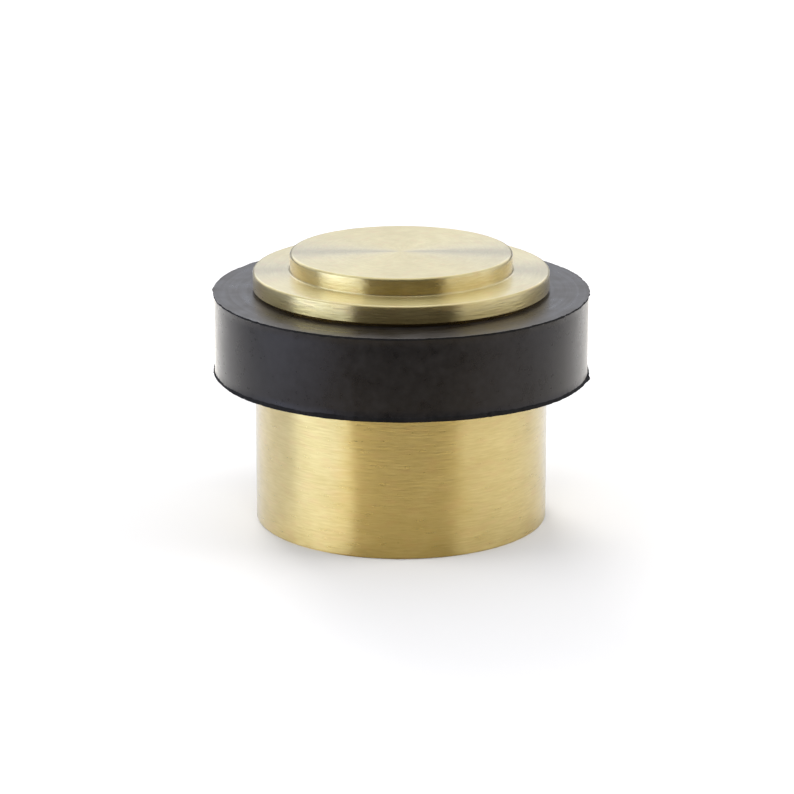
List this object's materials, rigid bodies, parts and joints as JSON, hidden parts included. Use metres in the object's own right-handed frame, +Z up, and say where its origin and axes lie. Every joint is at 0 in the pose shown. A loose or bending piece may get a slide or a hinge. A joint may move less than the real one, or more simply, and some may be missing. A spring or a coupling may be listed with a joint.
{
  "type": "floor door stop",
  "caption": "Round floor door stop: satin brass pedestal with a wider black rubber buffer ring clamped under a stepped brass cap, fixed to the floor by a concealed screw.",
  "frame": {"origin": "centre of the base's underside, on the floor", "axes": "+Z up along the axis of the turned pieces; X and Y lie in the floor, and every direction round the axis is alike"},
  "size_m": [0.0506, 0.0506, 0.0366],
  "materials": {
    "satin_brass": "satin, turned and brushed around the axis",
    "black_rubber": "matte, moulded"
  },
  "bodies": {
    "root": {"base": "satin_brass", "buffer_ring": "black_rubber", "cap": "satin_brass"}
  },
  "joints": []
}
